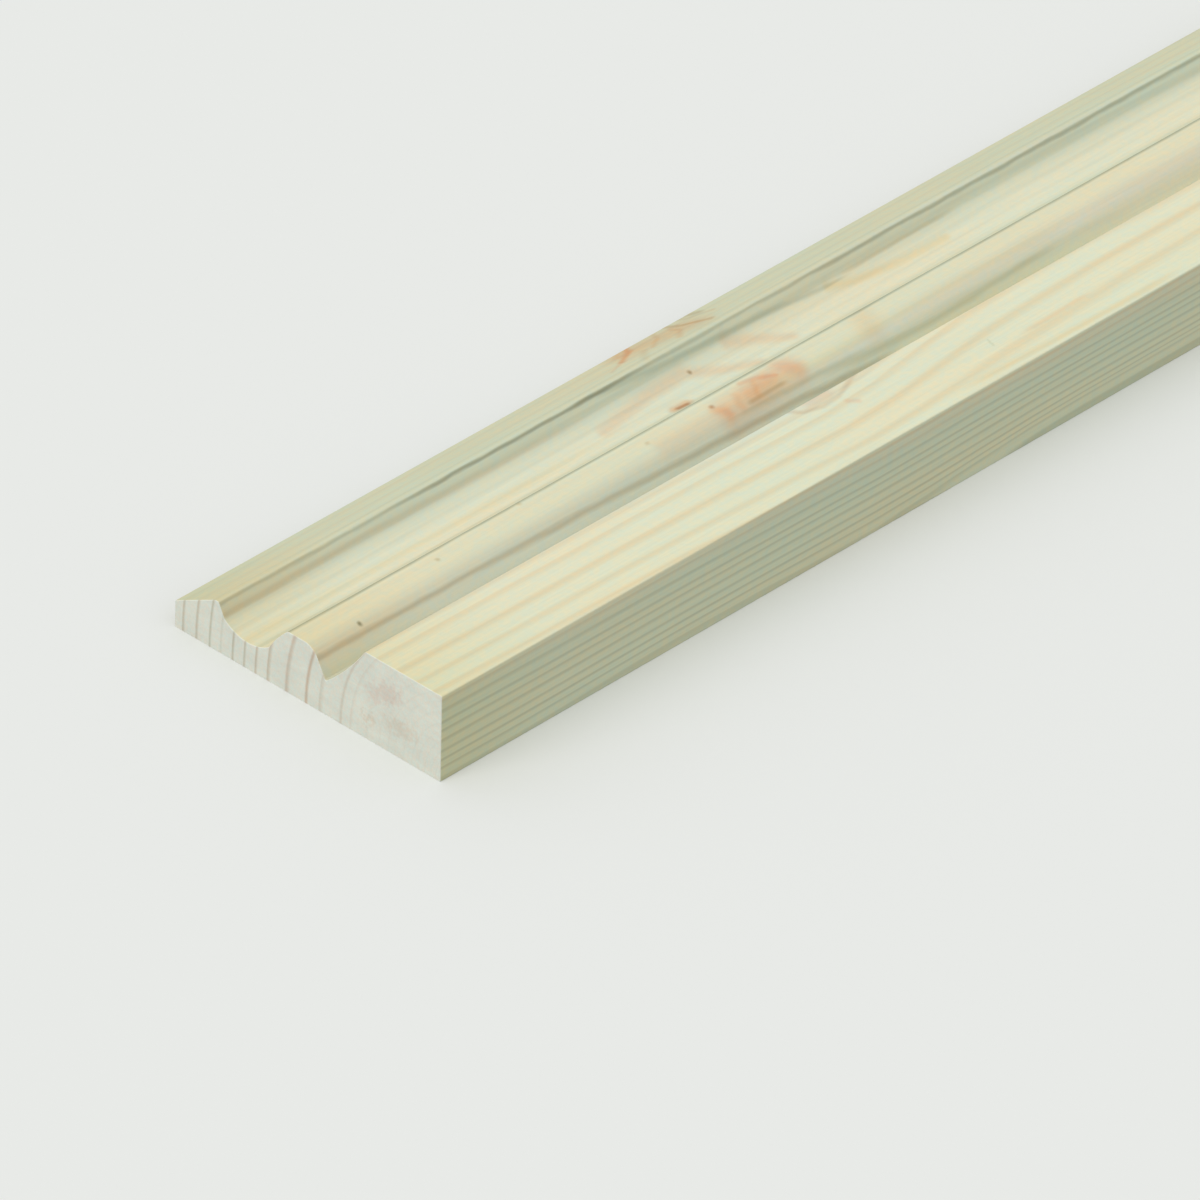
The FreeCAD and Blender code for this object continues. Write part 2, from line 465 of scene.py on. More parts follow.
    def _from_pith(self, tree: bpy.types.NodeTree, place: bpy.types.Node) -> bpy.types.Node:
        """Measures the distance from the pith's straight line.

        Args:
            tree: The material's node tree.
            place: The point's place in millimetres.

        Returns:
            The node with the distance.
        """
        offset = add_node(tree, "ShaderNodeVectorMath", {
            0: place,
            1: (0.0, 1.0, 1.0),
            2: (0.0, -self.pith[0], -self.pith[1]),
        }, operation="MULTIPLY_ADD")
        return add_node(tree, "ShaderNodeVectorMath", {0: offset}, operation="LENGTH")

    def _along_path(self, tree: bpy.types.NodeTree, along: bpy.types.Node,
                    points: tuple[Point, ...]) -> bpy.types.Node:
        """Gives how far the pith's path lies from its straight line.

        Args:
            tree: The material's node tree.
            along: The place along the stock.
            points: Places along, each with the path's shift there.

        Returns:
            The node with the shift in millimetres.
        """
        travelled = add_node(tree, "ShaderNodeMath", {0: along, 1: self.path_length}, operation="DIVIDE")
        curve = draw_curve(
            add_node(tree, "ShaderNodeFloatCurve", {"Value": travelled}),
            [(at / self.path_length, 0.5 + shift / (2 * self.path_swing)) for at, shift in points],
        )
        return add_node(tree, "ShaderNodeMath", {
            0: curve,
            1: 2 * self.path_swing,
            2: -self.path_swing,
        }, operation="MULTIPLY_ADD")

    def _add_branch(self, tree: bpy.types.NodeTree, branch: Branch, place: bpy.types.Node,
                    age: bpy.types.Node) -> tuple[bpy.types.Node, bpy.types.Node]:
        """Bends the rings round one branch and puts the branch's own rings inside it.

        Args:
            tree: The material's node tree.
            branch: The branch.
            place: The point's place in millimetres.
            age: The ring radius so far, after the branches before this one.

        Returns:
            The trunk's radius when the branch's skin was at this point, and the new ring radius.
        """
        heading = Vector(branch.heading).normalized()
        offset = add_node(tree, "ShaderNodeVectorMath", {0: place, 1: branch.start}, operation="SUBTRACT")
        run = add_node(tree, "ShaderNodeVectorMath", {0: offset, 1: heading}, operation="PROJECT")
        away = add_node(tree, "ShaderNodeVectorMath", {0: offset, 1: run}, operation="SUBTRACT")
        distance = add_node(tree, "ShaderNodeVectorMath", {0: away}, operation="LENGTH")
        grown = add_node(tree, "ShaderNodeMath", {0: distance, 1: branch.taper}, operation="DIVIDE")
        slim = add_node(tree, "ShaderNodeVectorMath", {
            0: away,
            1: (0.5 / branch.reach, 1 / branch.reach, 1 / branch.reach),
        }, operation="MULTIPLY")
        nearness = add_node(tree, "ShaderNodeVectorMath", {0: slim, 1: slim}, operation="DOT_PRODUCT")
        fading = add_node(tree, "ShaderNodeMath", {0: nearness, 1: -1.0}, operation="MULTIPLY")
        swell = add_node(tree, "ShaderNodeMath", {0: fading}, operation="EXPONENT")
        bent = add_node(tree, "ShaderNodeMath", {
            0: swell,
            1: -branch.bulge,
            2: age,
        }, operation="MULTIPLY_ADD")
        joined = add_node(tree, "ShaderNodeMath", {
            0: bent,
            1: grown,
            2: self.knot_join,
        }, operation="SMOOTH_MIN")
        return grown, joined

    def _late_wood(self, tree: bpy.types.NodeTree,
                   age: bpy.types.Node) -> tuple[bpy.types.Node, bpy.types.Node]:
        """Turns the ring radius into late wood, the dark line that ends each year's growth.

        Args:
            tree: The material's node tree.
            age: The ring radius in millimetres.

        Returns:
            The late wood from 0 to 1, and how orange it is from 0 to 1.
        """
        count = float(len(self.radii))
        ends = [(radius, float(number)) for number, radius in enumerate((0.0, *self.radii))]
        years = self.by_radius(tree, age, (*ends, (self.limit, count)), count)
        season = add_node(tree, "ShaderNodeMath", {0: years}, operation="FRACT")
        before = add_node(tree, "ShaderNodeMath", {0: 1.0, 1: season}, operation="SUBTRACT")
        sides = []
        for distance, width in ((before, self.line_lead), (season, self.line_trail)):
            sides.append(add_node(tree, "ShaderNodeMapRange", {
                "Value": distance,
                "From Max": width,
                "To Min": 1.0,
                "To Max": 0.0,
            }, interpolation_type="SMOOTHSTEP"))
        year = add_node(tree, "ShaderNodeMath", {0: years}, operation="ROUND")
        chance = add_node(tree, "ShaderNodeTexWhiteNoise", {"W": year}, noise_dimensions="1D")
        weight = add_node(tree, "ShaderNodeMapRange", {
            "Value": chance,
            "To Min": self.faintest_line,
            "To Max": 1.0,
        })
        late = add_node(tree, "ShaderNodeMath", {
            0: outermost(tree, sides, "MAXIMUM"),
            1: weight,
        }, operation="MULTIPLY")
        return late, self.by_radius(tree, age, self.warm_radii)


# The coloured wood on the face and its painted shade lines, member by member from the outer edge inwards.
FACE_STROKES = (
    # The bowed grain by the knot, the pin streaks and a small scar on the band.
    Stroke(((111.5, 20.0), (114.0, 17.6), (118.0, 16.5), (122.5, 16.8), (129.5, 19.9)), 1.0, 0.6, "#EEDBD0"),
    Stroke(((117.0, 19.6), (121.0, 19.6)), 3.6, 0.7, "#FEE5DD"),
    Stroke(((122.6, 14.6), (123.8, 13.2)), 1.2, 0.5, "#FFDCD3"),
    Stroke(((166.0, 7.5), (178.0, 7.8)), 1.0, 0.6, "#FFE6D4", 0.2),
    Stroke(((150.0, 2.0), (172.0, 1.4), (190.0, 1.3)), 1.3, 0.8, "#FFEEDB", 0.1),
    Stroke(((156.4, 10.3), (155.7, 8.4)), 0.5, 0.5, "#E2E8E2"),
    # Grain lines and the cooler wood on the quirk's wall, and the warmer wood above it.
    Stroke((
        (0.0, 31.95), (45.0, 31.8), (85.0, 31.4), (125.0, 30.85), (145.0, 30.3),
    ), 0.55, 0.8, "#E2D5C6", 0.05),
    Stroke((
        (118.0, 32.3), (137.0, 32.0), (146.0, 31.4), (162.0, 31.05), (190.0, 31.5),
    ), 0.55, 0.7, "#E3E2D6", 0.05),
    Stroke(((92.0, 31.2), (150.0, 30.7), (190.0, 30.7)), 2.0, 0.7, "#F2F9FA", 0.06),
    Stroke(((126.0, 33.8), (190.0, 33.6)), 2.0, 0.65, "#FFFAEA", 0.1),
    # The half knot on the ovolo and the plateau, with the pink wood around it.
    Stroke(((93.0, 34.4), (110.0, 34.0)), 3.2, 0.6, "#FFE9DD"),
    Stroke(((110.5, 33.8), (122.0, 34.6), (129.0, 35.4)), 5.2, 0.9, "#FFE2D4"),
    Stroke(((110.0, 33.4), (108.4, 35.4)), 1.9, 0.5, "#FFDFCF"),
    Stroke(((113.6, 33.4), (114.6, 36.0)), 1.6, 0.45, "#FFDCC4"),
    Stroke(((117.4, 35.0), (122.8, 35.8)), 3.6, 0.6, "#FFDCC8"),
    Stroke(((118.4, 33.8), (120.4, 36.8)), 1.1, 0.3, "#F8D8B8"),
    Stroke(((118.0, 38.2), (121.4, 37.4), (124.8, 35.6)), 1.1, 0.5, "#FBCDBC"),
    Stroke(((108.7, 36.4),), 1.0, 0.8, "#D2AE97"),
    Stroke(((127.4, 37.2), (129.6, 34.2)), 3.2, 0.6, "#FFE1DA"),
    Stroke(((151.0, 37.4), (149.5, 34.4)), 5.0, 0.6, "#FFECDC"),
    Stroke(((116.5, 33.2), (124.0, 33.2)), 0.7, 0.6, "#D9CAB0", 0.3),
    # Pin knots on the ovolo and the plateau.
    Stroke(((12.4, 33.1),), 0.75, 0.9, "#9C9C8A"),
    Stroke(((36.4, 36.8),), 0.9, 0.6, "#DCC9AA"),
    Stroke(((91.5, 36.4),), 0.9, 0.5, "#E2D2BE"),
    Stroke(((60.2, 39.0),), 0.9, 0.4, "#E6D3B4"),
    # Painted shade lines along the brow's edge and on the cove's near side just beyond it, standing in for
    # the shadow there.
    Stroke(((0.0, 39.6), (STOCK_LENGTH, 39.6)), 0.85, 0.9, "#BDC2BA"),
    Stroke(((0.0, 47.1), (STOCK_LENGTH, 47.1)), 1.1, 0.6, "#E9ECE8"),
    # The cove's grain, bent round a small knot.
    Stroke(((4.0, 50.6), (75.0, 50.3)), 1.7, 0.6, "#FFF7E8", 0.06),
    Stroke(((96.0, 52.2), (110.0, 54.1), (120.0, 54.5), (134.0, 48.2)), 2.3, 0.8, "#FFE9DE"),
    Stroke(((132.5, 55.4), (137.5, 54.0), (145.0, 50.0)), 2.2, 0.75, "#FFE9DE"),
    Stroke(((160.0, 55.3), (166.0, 54.0), (175.0, 53.0), (190.0, 52.5)), 1.6, 0.8, "#FFF1DC"),
    Stroke(((111.2, 48.2), (114.4, 48.1)), 2.0, 0.9, "#FBD3BA"),
    Stroke(((111.9, 47.9), (113.8, 47.6)), 1.0, 0.8, "#CFA48A"),
    Stroke(((121.3, 54.1),), 0.8, 0.85, "#B9A791"),
    # Grain on the step, and a painted shadow line along the step's top, under the rim.
    Stroke(((0.0, 56.45), (35.0, 56.45), (75.0, 56.0)), 0.6, 0.45, "#FCE2CE", 0.02),
    Stroke((
        (98.0, 57.5), (112.0, 56.9), (130.0, 56.6), (145.0, 56.2), (160.0, 55.4),
    ), 0.5, 0.6, "#D4D8D3", 0.06),
    Stroke(((170.0, 56.0), (190.0, 56.2)), 0.5, 0.6, "#EADECD", 0.06),
    # Painted shadow under the rim's lip along the whole length, darker and lighter in stretches.
    Stroke(((0.0, 57.42), (STOCK_LENGTH, 57.42)), 0.32, 0.42, "#BDB9AE"),
    Stroke(((62.0, 57.42), (98.0, 57.42)), 0.34, 0.5, "#BBB3A6", 0.015),
    Stroke(((168.0, 57.42), (STOCK_LENGTH, 57.42)), 0.4, 0.3, "#B9B9AE", 0.02),
    # The warm, streaked wood on the bevel.
    Stroke(((116.0, 67.0), (131.0, 63.5)), 6.5, 0.9, "#FDE6D6"),
    Stroke(((119.4, 69.2), (117.6, 66.6), (112.4, 63.4)), 1.3, 0.8, "#FFCDB2"),
    Stroke(((117.2, 69.2), (114.6, 66.2)), 1.5, 0.4, "#FFE2D0"),
    Stroke(((112.4, 63.4), (107.5, 61.2)), 0.8, 0.5, "#FFE6D6"),
    Stroke(((129.6, 69.0), (130.2, 65.6), (133.6, 60.6)), 1.3, 0.65, "#E7CFB8"),
    Stroke(((132.6, 69.2), (134.2, 66.8), (138.0, 64.4)), 1.1, 0.4, "#EBD3BE"),
    Stroke(((134.6, 69.2), (137.0, 67.2)), 1.7, 0.65, "#E2CBB2"),
    Stroke(((128.6, 66.4), (127.8, 63.0), (124.6, 60.0)), 1.2, 0.6, "#FFE4D0"),
    Stroke(((126.2, 68.8), (124.4, 65.6), (119.8, 62.2)), 1.0, 0.45, "#F6E2D0"),
    Stroke(((118.0, 63.0), (114.0, 58.9)), 1.4, 0.45, "#F5E6D8"),
)

# The smudges of pink and brown wood round the knot's root on the near sawn end.
END_STROKES = (
    Stroke(((12.0, 13.6), (17.0, 11.0)), 3.2, 0.55, "#F5DFDC"),
    Stroke(((8.0, 7.0), (12.5, 6.5)), 2.9, 0.45, "#F6E4D8"),
    Stroke(((18.0, 4.6), (19.5, 4.4)), 2.0, 0.5, "#F5E3D6"),
)


@dataclass(frozen=True)
class PlanedPine:
    """Slow-grown pine, machine planed and unfinished.

    Planing leaves pale early wood with a soft sheen, thin orange late-wood lines that shine a little more,
    fine fibre streaks along the grain, and a close ripple from the cutter's knives.
    """

    # The planed wood's own colour by ring radius: greenish by the pith, a cooler grey on the quirk's wall and
    # in the step's wide rings, where the cutter crossed the grain, and creamier between them.
    ground: tuple[tuple[float, str], ...] = (
        (0.0, "#EEF2DC"), (14.0, "#E7EBD4"), (18.0, "#E5E9D3"), (20.5, "#E9E9D3"), (33.0, "#EBEAD6"),
        (38.5, "#DEE1DA"), (41.5, "#DEE0DC"), (43.0, "#DDDFD3"), (45.3, "#E6E4CE"), (49.0, "#E7E7D3"),
        (54.0, "#EAE9D7"), (57.0, "#ECEAD9"), (61.5, "#EAE9DA"), (63.5, "#E2E3D5"), (64.8, "#D5DAD0"),
        (66.3, "#D5DACF"), (67.2, "#DBDCC5"), (80.0, "#DADBC3"),
    )
    green_tint: str = "#F7FCF5"
    cream_tint: str = "#FFFAEC"
    line_strength: tuple[Point, ...] = (
        (0.0, 0.85), (19.0, 0.85), (22.0, 0.95), (32.0, 0.95), (36.0, 0.3), (60.0, 0.25), (68.0, 0.4),
        (80.0, 0.4),
    )
    late_orange: str = "#FEF0E4"
    late_olive: str = "#E0E1DC"
    knot_wood: str = "#F3D3B5"
    knot_skin: str = "#DFB38E"
    knot_heart: str = "#C08E68"
    bark: str = "#7E5C3C"
    roughness_early: float = 0.62
    roughness_late: float = 0.5
    fibre_roughness: float = 0.08
    ior: float = 1.5
    specular: float = 0.35
    # Bundles of fibres are 0.1 mm across; drawn as 0.5 mm streaks so that they show.
    fibre_across: float = 0.5
    fibre_along: float = 20.0
    fibre_shade: Point = (1.015, 1.065)
    # Noise keeps close to its middle value, so each effect runs over a narrow span of it.
    fibre_span: Point = (0.3, 0.7)
    tint_span: Point = (0.36, 0.66)
    fleck_span: Point = (0.35, 0.65)
    # Greener and creamier patches drift along the grain.
    tint_along: float = 70.0
    tint_across: float = 9.0
    # The first centimetres have yellowed where the sawn end let the air in.
    end_yellow: str = "#FCF7EC"
    yellow_until: float = 30.0
    fleck_size: float = 1.1
    fleck_stretch: float = 0.7
    fleck_cool: str = "#F7FBFC"
    fleck_warm: str = "#FFFBF4"
    # The strokes' edges fray along the fibres, and nothing below this height, near the back, is stroked.
    fray_size: Place = (0.12, 0.6, 0.6)
    fray: Place = (1.6, 0.4, 0.0)
    stroked_from: float = 3.0
    out_of_reach: float = 100.0
    # A planer leaves knife marks 1.6 mm apart, too shallow to see but for a faint ripple in the sheen.
    knife_pitch: float = 1.6
    knife_depth: float = 0.08
    relief: float = 0.05
    bump: float = 0.5

    def build(self) -> bpy.types.Material:
        """Builds the planed wood's material.

        Returns:
            The material.
        """
        material = new_material("planed_pine")
        tree = material.node_tree
        rings = GrowthRings()
        wood = rings.build(tree)
        streaks = add_node(tree, "ShaderNodeVectorMath", {
            0: wood.place,
            1: (1 / self.fibre_along, 1 / self.fibre_across, 1 / self.fibre_across),
        }, operation="MULTIPLY")
        fibres = add_node(tree, "ShaderNodeTexNoise", {"Vector": streaks, "Scale": 1.0, "Detail": 3.0})
        ringed = self._draw_rings(tree, rings, wood)
        knotted = self._draw_knots(tree, wood, ringed)
        stroked = self._lay_strokes(tree, wood.place, knotted)
        rough = add_node(tree, "ShaderNodeMapRange", {
            "Value": wood.late,
            "To Min": self.roughness_early,
            "To Max": self.roughness_late,
        })
        roughness = add_node(tree, "ShaderNodeMath", {
            0: fibres,
            1: self.fibre_roughness,
            2: rough,
        }, operation="MULTIPLY_ADD")
        shader = add_node(tree, "ShaderNodeBsdfPrincipled", {
            "Base Color": self._weather(tree, wood.place, fibres, stroked),
            "Roughness": roughness,
            "IOR": self.ior,
            "Specular IOR Level": self.specular,
            "Normal": self._bump(tree, wood.place, fibres),
        })
        add_node(tree, "ShaderNodeOutputMaterial", {"Surface": shader})
        return material

    def _draw_rings(self, tree: bpy.types.NodeTree, rings: GrowthRings, wood: WoodField) -> bpy.types.Node:
        """Colours the early wood and draws the late wood's lines over it.

        Args:
            tree: The material's node tree.
            rings: The stock's year rings.
            wood: The rings and knots at the point.

        Returns:
            The colour of clear wood.
        """
        outward = add_node(tree, "ShaderNodeMath", {0: wood.age, 1: rings.limit}, operation="DIVIDE")
        colour = self._ramp(tree, outward, [(at / rings.limit, shade) for at, shade in self.ground])
        patches = add_node(tree, "ShaderNodeVectorMath", {
            0: wood.place,
            1: (1 / self.tint_along, 1 / self.tint_across, 1 / self.tint_across),
        }, operation="MULTIPLY")
        patch = add_node(tree, "ShaderNodeTexNoise", {"Vector": patches, "Scale": 1.0, "Detail": 2.0})
        tint = self._ramp(tree, patch, list(zip(self.tint_span, (self.green_tint, self.cream_tint))))
        line_tint = add_node(tree, "ShaderNodeMix", {
            MIX_FACTOR: wood.warm,
            MIX_FIRST: linear(self.late_olive),
            MIX_SECOND: linear(self.late_orange),
        }, data_type="RGBA")
        strength = rings.by_radius(tree, wood.age, self.line_strength)
        line = add_node(tree, "ShaderNodeMath", {0: wood.late, 1: strength}, operation="MULTIPLY")
        for cover, layer in ((1.0, tint), (line, line_tint)):
            colour = add_node(tree, "ShaderNodeMix", {
                MIX_FACTOR: cover,
                MIX_FIRST: colour,
                MIX_SECOND: layer,
            }, data_type="RGBA", blend_type="MULTIPLY")
        return colour

    def _draw_knots(self, tree: bpy.types.NodeTree, wood: WoodField,
                    colour: bpy.types.Node) -> bpy.types.Node:
        """Tints the knots, from their skin over the clear body to the heart, and draws the dead ones' bark.

        Args:
            tree: The material's node tree.
            wood: The rings and knots at the point.
            colour: The colour of clear wood.

        Returns:
            The colour with the knots.
        """
        inside = linear(self.knot_skin)
        for cover, tint in ((wood.body, self.knot_wood), (wood.heart, self.knot_heart)):
            inside = add_node(tree, "ShaderNodeMix", {
                MIX_FACTOR: cover,
                MIX_FIRST: inside,
                MIX_SECOND: linear(tint),
            }, data_type="RGBA")
        knotted = add_node(tree, "ShaderNodeMix", {
            MIX_FACTOR: wood.knot,
            MIX_FIRST: colour,
            MIX_SECOND: inside,
        }, data_type="RGBA", blend_type="MULTIPLY")
        return add_node(tree, "ShaderNodeMix", {
            MIX_FACTOR: wood.rim,
            MIX_FIRST: knotted,
            MIX_SECOND: linear(self.bark),
        }, data_type="RGBA")

    def _weather(self, tree: bpy.types.NodeTree, place: bpy.types.Node, fibres: bpy.types.Node,
                 colour: bpy.types.Node) -> bpy.types.Node:
        """Yellows the near end, flecks the wood and shades its fibres.

        Args:
            tree: The material's node tree.
            place: The point's place in millimetres.
            fibres: The fibre streaks.
            colour: The colour below.

        Returns:
            The finished colour.
        """
        along = add_node(tree, "ShaderNodeSeparateXYZ", {"Vector": place})
        yellowed = add_node(tree, "ShaderNodeMapRange", {
            "Value": along,
            "From Max": self.yellow_until,
            "To Min": 1.0,
            "To Max": 0.0,
        })
        spots = add_node(tree, "ShaderNodeVectorMath", {
            0: place,
            1: (self.fleck_stretch, 1.0, 1.0),
        }, operation="MULTIPLY")
        flecks = add_node(tree, "ShaderNodeTexNoise", {
            "Vector": spots,
            "Scale": 1 / self.fleck_size,
            "Detail": 1.0,
        })
        fleck = self._ramp(tree, flecks, list(zip(self.fleck_span, (self.fleck_cool, self.fleck_warm))))
        for cover, layer in ((yellowed, linear(self.end_yellow)), (1.0, fleck)):
            colour = add_node(tree, "ShaderNodeMix", {
                MIX_FACTOR: cover,
                MIX_FIRST: colour,
                MIX_SECOND: layer,
            }, data_type="RGBA", blend_type="MULTIPLY")
        shade = add_node(tree, "ShaderNodeMapRange", {
            "Value": fibres,
            "From Min": self.fibre_span[0],
            "From Max": self.fibre_span[1],
            "To Min": self.fibre_shade[0],
            "To Max": self.fibre_shade[1],
        })
        return add_node(tree, "ShaderNodeVectorMath", {0: colour, "Scale": shade}, operation="SCALE")

    def _ramp(self, tree: bpy.types.NodeTree, factor: bpy.types.Node,
              stops: list[tuple[float, str]]) -> bpy.types.Node:
        """Runs through a list of colours.

        Args:
            tree: The material's node tree.
            factor: Where the point is on the ramp.
            stops: Places from 0 to 1, each with its colour.

        Returns:
            The ramp node.
        """
        node = add_node(tree, "ShaderNodeValToRGB", {"Fac": factor})
        elements = node.color_ramp.elements
        elements[1].position = stops[-1][0]
        elements[1].color = linear(stops[-1][1])
        elements[0].position = stops[0][0]
        elements[0].color = linear(stops[0][1])
        for place, colour in stops[1:-1]:
            elements.new(place).color = linear(colour)
        return node

    def _lay_strokes(self, tree: bpy.types.NodeTree, place: bpy.types.Node,
                     colour: bpy.types.Node) -> bpy.types.Node:
        """Lays the face's streaks, pin knots and painted shade lines over the wood.

        Args:
            tree: The material's node tree.
            place: The point's place in millimetres.
            colour: The colour below the strokes.

        Returns:
            The colour with the strokes.
        """
        split = add_node(tree, "ShaderNodeSeparateXYZ", {"Vector": place})
        below = add_node(tree, "ShaderNodeMath", {
            0: split.outputs["Z"],
            1: self.stroked_from,
        }, operation="LESS_THAN")
        hidden = add_node(tree, "ShaderNodeMath", {0: below, 1: self.out_of_reach}, operation="MULTIPLY")
        flat = add_node(tree, "ShaderNodeCombineXYZ", {
            "X": split.outputs["X"],
            "Y": split.outputs["Y"],
            "Z": hidden,
        })
        fibre = add_node(tree, "ShaderNodeVectorMath", {0: place, 1: self.fray_size}, operation="MULTIPLY")
        ragged = add_node(tree, "ShaderNodeTexNoise", {"Vector": fibre, "Scale": 1.0, "Detail": 2.0})
        push = add_node(tree, "ShaderNodeVectorMath", {
            0: ragged.outputs["Color"],
            1: self.fray,
            2: Vector(self.fray) / -2,
        }, operation="MULTIPLY_ADD")
        spot = add_node(tree, "ShaderNodeVectorMath", {0: flat, 1: push}, operation="ADD")
        for stroke in FACE_STROKES:
            colour = stroke.lay(tree, spot, colour)
        return colour

    def _bump(self, tree: bpy.types.NodeTree, place: bpy.types.Node,
              fibres: bpy.types.Node) -> bpy.types.Node:
        """Raises the fibres and adds the planer's knife ripple.

        Args:
            tree: The material's node tree.
            place: The point's place in millimetres.
            fibres: The fibre streaks.

        Returns:
            The bump node.
        """
        along = add_node(tree, "ShaderNodeSeparateXYZ", {"Vector": place})
        turn = add_node(tree, "ShaderNodeMath", {
            0: along,
            1: 2 * math.pi / self.knife_pitch,
        }, operation="MULTIPLY")
        ripple = add_node(tree, "ShaderNodeMath", {0: turn}, operation="SINE")
        height = add_node(tree, "ShaderNodeMath", {
            0: ripple,
            1: self.knife_depth,
            2: fibres,
        }, operation="MULTIPLY_ADD")
        return add_node(tree, "ShaderNodeBump", {
            "Strength": self.bump,
            "Distance": self.relief * MM,
            "Height": height,
        })


@dataclass(frozen=True)
class SawnPine:
    """The same pine cross-cut by a fine circular saw.

    The cut opens the ends of the fibres, so the face is matt and a cooler, greyer white than the planed
    wood, with the year rings as thin pinkish brown arcs and faint tooth marks across it.
    """

    pale: str = "#E4E6D8"
    grey: str = "#DEE1D4"
    ring_pink: str = "#E7D2C6"
    ring_grey: str = "#D9D6CB"
    line_strength: tuple[Point, ...] = (
        (0.0, 0.1), (30.0, 0.1), (33.7, 0.5), (36.0, 0.5), (39.2, 0.6), (42.6, 1.0), (62.0, 1.0), (65.1, 0.3),
        (67.9, 1.0), (80.0, 1.0),
    )
    mottle: float = 0.12
    roughness: float = 0.82
    pore_roughness: float = 0.1
    ior: float = 1.5
    specular: float = 0.25
    # A saw tooth leaves a line each 0.3 mm; drawn 0.8 mm apart so that they show.
    tooth_pitch: float = 0.8
    tooth_lean: float = 0.35
    pore_size: float = 0.45
    cut_shade: Point = (0.95, 1.04)
    # Noise keeps close to its middle value, so each effect runs over a narrow span of it.
    cut_span: Point = (0.7, 1.3)
    mottle_span: Point = (0.35, 0.65)
    fleck_span: Point = (0.38, 0.62)
    # The smudges' edges are torn by up to half of this reach.
    smudge_grain: float = 1.1
    smudge_reach: Place = (7.0, 7.0, 0.0)
    fleck_size: float = 0.9
    fleck_cool: str = "#F8FCFD"
    fleck_warm: str = "#FDF8F5"
    relief: float = 0.06
    bump: float = 0.5

    def build(self) -> bpy.types.Material:
        """Builds the sawn end's material.

        Returns:
            The material.
        """
        material = new_material("sawn_pine")
        tree = material.node_tree
        rings = GrowthRings(line_lead=0.2, line_trail=0.12)
        wood = rings.build(tree)
        pores = add_node(tree, "ShaderNodeTexNoise", {
            "Vector": wood.place,
            "Scale": 1 / self.pore_size,
            "Detail": 3.0,
        })
        teeth = add_node(tree, "ShaderNodeVectorMath", {
            0: wood.place,
            1: (0.0, self.tooth_lean / self.tooth_pitch, 1 / self.tooth_pitch),
        }, operation="MULTIPLY")
        scratches = add_node(tree, "ShaderNodeTexNoise", {"Vector": teeth, "Scale": 0.5, "Detail": 2.0})
        rough_cut = add_node(tree, "ShaderNodeMath", {0: pores, 1: scratches}, operation="ADD")
        smudged = self._smudge(tree, wood.place, self._draw_rings(tree, rings, wood))
        roughness = add_node(tree, "ShaderNodeMath", {
            0: pores,
            1: self.pore_roughness,
            2: self.roughness - self.pore_roughness / 2,
        }, operation="MULTIPLY_ADD")
        bump = add_node(tree, "ShaderNodeBump", {
            "Strength": self.bump,
            "Distance": self.relief * MM,
            "Height": rough_cut,
        })
        shader = add_node(tree, "ShaderNodeBsdfPrincipled", {
            "Base Color": self._fleck(tree, wood.place, rough_cut, smudged),
            "Roughness": roughness,
            "IOR": self.ior,
            "Specular IOR Level": self.specular,
            "Normal": bump,
        })
        add_node(tree, "ShaderNodeOutputMaterial", {"Surface": shader})
        return material

    def _draw_rings(self, tree: bpy.types.NodeTree, rings: GrowthRings, wood: WoodField) -> bpy.types.Node:
        """Mottles the cut wood and draws the year rings on it.

        Args:
            tree: The material's node tree.
            rings: The stock's year rings.
            wood: The rings and knots at the point.

        Returns:
            The colour of the cut wood.
        """
        mottle = add_node(tree, "ShaderNodeTexNoise", {
            "Vector": wood.place,
            "Scale": self.mottle,
            "Detail": 4.0,
        })
        spread = add_node(tree, "ShaderNodeMapRange", {
            "Value": mottle,
            "From Min": self.mottle_span[0],
            "From Max": self.mottle_span[1],
        })
        ground = add_node(tree, "ShaderNodeMix", {
            MIX_FACTOR: spread,
            MIX_FIRST: linear(self.pale),
            MIX_SECOND: linear(self.grey),
        }, data_type="RGBA")
        line_colour = add_node(tree, "ShaderNodeMix", {
            MIX_FACTOR: wood.warm,
            MIX_FIRST: linear(self.ring_grey),
            MIX_SECOND: linear(self.ring_pink),
        }, data_type="RGBA")
        strength = rings.by_radius(tree, wood.age, self.line_strength)
        line = add_node(tree, "ShaderNodeMath", {0: wood.late, 1: strength}, operation="MULTIPLY")
        return add_node(tree, "ShaderNodeMix", {
            MIX_FACTOR: line,
            MIX_FIRST: ground,
            MIX_SECOND: line_colour,
        }, data_type="RGBA", blend_type="MULTIPLY")

